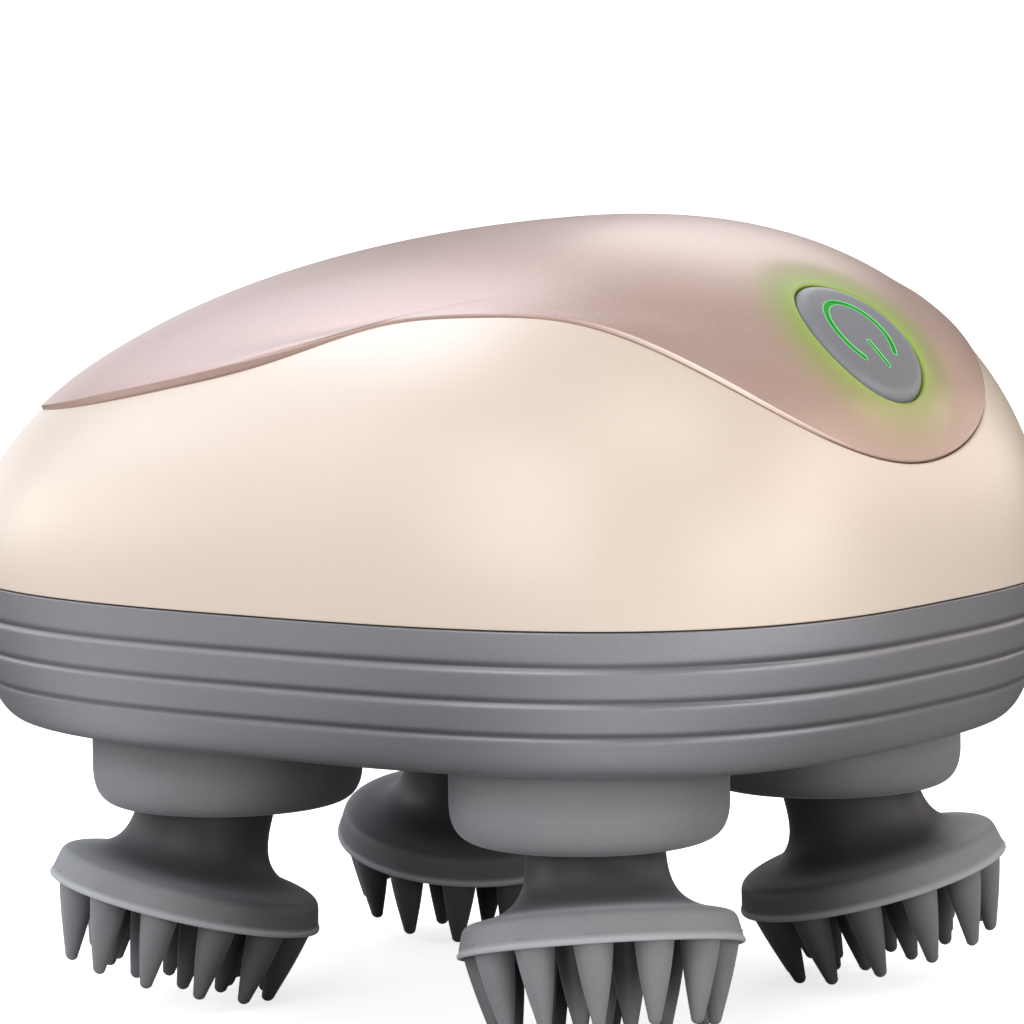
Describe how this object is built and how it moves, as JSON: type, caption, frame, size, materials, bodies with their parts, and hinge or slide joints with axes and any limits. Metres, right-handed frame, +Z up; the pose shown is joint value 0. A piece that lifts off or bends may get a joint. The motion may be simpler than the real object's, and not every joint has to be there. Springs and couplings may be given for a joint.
{
  "type": "electric scalp massager",
  "caption": "Hand-held domed massager whose motor drives toothed silicone heads on leaning spindles that wobble round under the palm grip, with a lit push button.",
  "frame": {"origin": "under the middle of the body, on the surface that the tooth tips stand on", "axes": "+X towards the button end, +Y to the left, +Z up through the dome"},
  "size_m": [0.131, 0.107, 0.0971],
  "materials": {
    "rose_cover": "satin pearl rose-gold paint",
    "champagne_shell": "satin pearl champagne paint",
    "grey_band": "satin grey metallic paint",
    "dark_seal": "matte",
    "light_diffuser": "translucent",
    "black_plastic": "moulded",
    "circuit_board": "solder mask",
    "led_lens": "clear lens",
    "cell_wrap": "shrink sleeve",
    "lead_sleeve": "wire insulation",
    "motor_steel": "drawn can",
    "gearbox_steel": "turned",
    "bronze": "sintered",
    "white_nylon": "moulded",
    "screw_steel": "zinc plated",
    "port_plastic": "moulded",
    "gold_contact": "gold plated",
    "magnet_plate": "nickel plated",
    "silicone_grey": "matte silicone",
    "button_rubber": "satin",
    "icon_green": "lit inlay",
    "shaft_steel": "ground",
    "gear_resin": "acetal"
  },
  "bodies": {
    "housing": {"top_cover": "rose_cover", "upper_shell": "champagne_shell", "lower_housing": "grey_band", "housing_seal": "dark_seal", "light_ring": "light_diffuser", "button_frame": "black_plastic", "button_board": "circuit_board", "tact_switch": "black_plastic", "status_led": "led_lens", "control_board": "circuit_board", "battery_cell": "cell_wrap", "battery_cradle": "black_plastic", "battery_leads": "lead_sleeve", "motor_can": "motor_steel", "gearbox": "gearbox_steel", "gear_deck": "black_plastic", "crank_bushings": "bronze", "boot_clamps": "white_nylon", "housing_screws": "screw_steel", "deck_screws": "screw_steel", "charge_port_bezel": "port_plastic", "charge_contacts": "gold_contact", "port_magnets": "magnet_plate", "strap_bar": "screw_steel", "boot_front_left": "silicone_grey", "boot_front_right": "silicone_grey", "boot_rear_left": "silicone_grey", "boot_rear_right": "silicone_grey"},
    "button": {"power_button": "button_rubber", "button_icon": "icon_green", "switch_plunger": "black_plastic"},
    "drive_shaft": {"output_shaft": "shaft_steel", "sun_gear": "gear_resin"},
    "crank_front_left": {"crank_gear_front_left": "gear_resin", "spindle_bearing_front_left": "bronze", "boot_diaphragm_front_left": "silicone_grey"},
    "spindle_front_left": {"spindle_front_left": "shaft_steel"},
    "head_front_left": {"massage_head_front_left": "silicone_grey", "head_core_front_left": "white_nylon"},
    "crank_front_right": {"crank_gear_front_right": "gear_resin", "spindle_bearing_front_right": "bronze", "boot_diaphragm_front_right": "silicone_grey"},
    "spindle_front_right": {"spindle_front_right": "shaft_steel"},
    "head_front_right": {"massage_head_front_right": "silicone_grey", "head_core_front_right": "white_nylon"},
    "crank_rear_left": {"crank_gear_rear_left": "gear_resin", "spindle_bearing_rear_left": "bronze", "boot_diaphragm_rear_left": "silicone_grey"},
    "spindle_rear_left": {"spindle_rear_left": "shaft_steel"},
    "head_rear_left": {"massage_head_rear_left": "silicone_grey", "head_core_rear_left": "white_nylon"},
    "crank_rear_right": {"crank_gear_rear_right": "gear_resin", "spindle_bearing_rear_right": "bronze", "boot_diaphragm_rear_right": "silicone_grey"},
    "spindle_rear_right": {"spindle_rear_right": "shaft_steel"},
    "head_rear_right": {"massage_head_rear_right": "silicone_grey", "head_core_rear_right": "white_nylon"}
  },
  "joints": [
    {"name": "button_press", "type": "slide", "parent": "housing", "child": "button", "axis": [-0.7206, 0, -0.6934], "range_m": [0, 0.0008], "stiffness_N_per_m": 2500},
    {"name": "drive_spin", "type": "hinge", "parent": "housing", "child": "drive_shaft", "pos_m": [0.0029, 0, 0.0415], "axis": [0, 0, 1], "continuous": true},
    {"name": "crank_spin_front_left", "type": "hinge", "parent": "housing", "child": "crank_front_left", "pos_m": [0.0307, 0.02517, 0.03572], "axis": [0, 0, 1], "continuous": true},
    {"name": "spindle_turn_front_left", "type": "hinge", "parent": "crank_front_left", "child": "spindle_front_left", "pos_m": [0.0307, 0.02517, 0.03572], "axis": [-0.1773, -0.1605, 0.971], "continuous": true},
    {"name": "head_pull_front_left", "type": "slide", "parent": "spindle_front_left", "child": "head_front_left", "axis": [0.1773, 0.1605, -0.971], "range_m": [0, 0.012]},
    {"name": "crank_spin_front_right", "type": "hinge", "parent": "housing", "child": "crank_front_right", "pos_m": [0.0307, -0.02517, 0.03572], "axis": [0, 0, 1], "continuous": true},
    {"name": "spindle_turn_front_right", "type": "hinge", "parent": "crank_front_right", "child": "spindle_front_right", "pos_m": [0.0307, -0.02517, 0.03572], "axis": [-0.1773, 0.1605, 0.971], "continuous": true},
    {"name": "head_pull_front_right", "type": "slide", "parent": "spindle_front_right", "child": "head_front_right", "axis": [0.1773, -0.1605, -0.971], "range_m": [0, 0.012]},
    {"name": "crank_spin_rear_left", "type": "hinge", "parent": "housing", "child": "crank_rear_left", "pos_m": [-0.0249, 0.02517, 0.03572], "axis": [0, 0, 1], "continuous": true},
    {"name": "spindle_turn_rear_left", "type": "hinge", "parent": "crank_rear_left", "child": "spindle_rear_left", "pos_m": [-0.0249, 0.02517, 0.03572], "axis": [0.1773, -0.1605, 0.971], "continuous": true},
    {"name": "head_pull_rear_left", "type": "slide", "parent": "spindle_rear_left", "child": "head_rear_left", "axis": [-0.1773, 0.1605, -0.971], "range_m": [0, 0.012]},
    {"name": "crank_spin_rear_right", "type": "hinge", "parent": "housing", "child": "crank_rear_right", "pos_m": [-0.0249, -0.02517, 0.03572], "axis": [0, 0, 1], "continuous": true},
    {"name": "spindle_turn_rear_right", "type": "hinge", "parent": "crank_rear_right", "child": "spindle_rear_right", "pos_m": [-0.0249, -0.02517, 0.03572], "axis": [0.1773, 0.1605, 0.971], "continuous": true},
    {"name": "head_pull_rear_right", "type": "slide", "parent": "spindle_rear_right", "child": "head_rear_right", "axis": [-0.1773, -0.1605, -0.971], "range_m": [0, 0.012]}
  ],
  "couplings": [
    {"joint": "crank_spin_front_left", "follows": "drive_spin", "ratio": -1.5},
    {"joint": "spindle_turn_front_left", "follows": "drive_spin", "ratio": 1.5},
    {"joint": "crank_spin_front_right", "follows": "drive_spin", "ratio": -1.5},
    {"joint": "spindle_turn_front_right", "follows": "drive_spin", "ratio": 1.5},
    {"joint": "crank_spin_rear_left", "follows": "drive_spin", "ratio": -1.5},
    {"joint": "spindle_turn_rear_left", "follows": "drive_spin", "ratio": 1.5},
    {"joint": "crank_spin_rear_right", "follows": "drive_spin", "ratio": -1.5},
    {"joint": "spindle_turn_rear_right", "follows": "drive_spin", "ratio": 1.5}
  ]
}
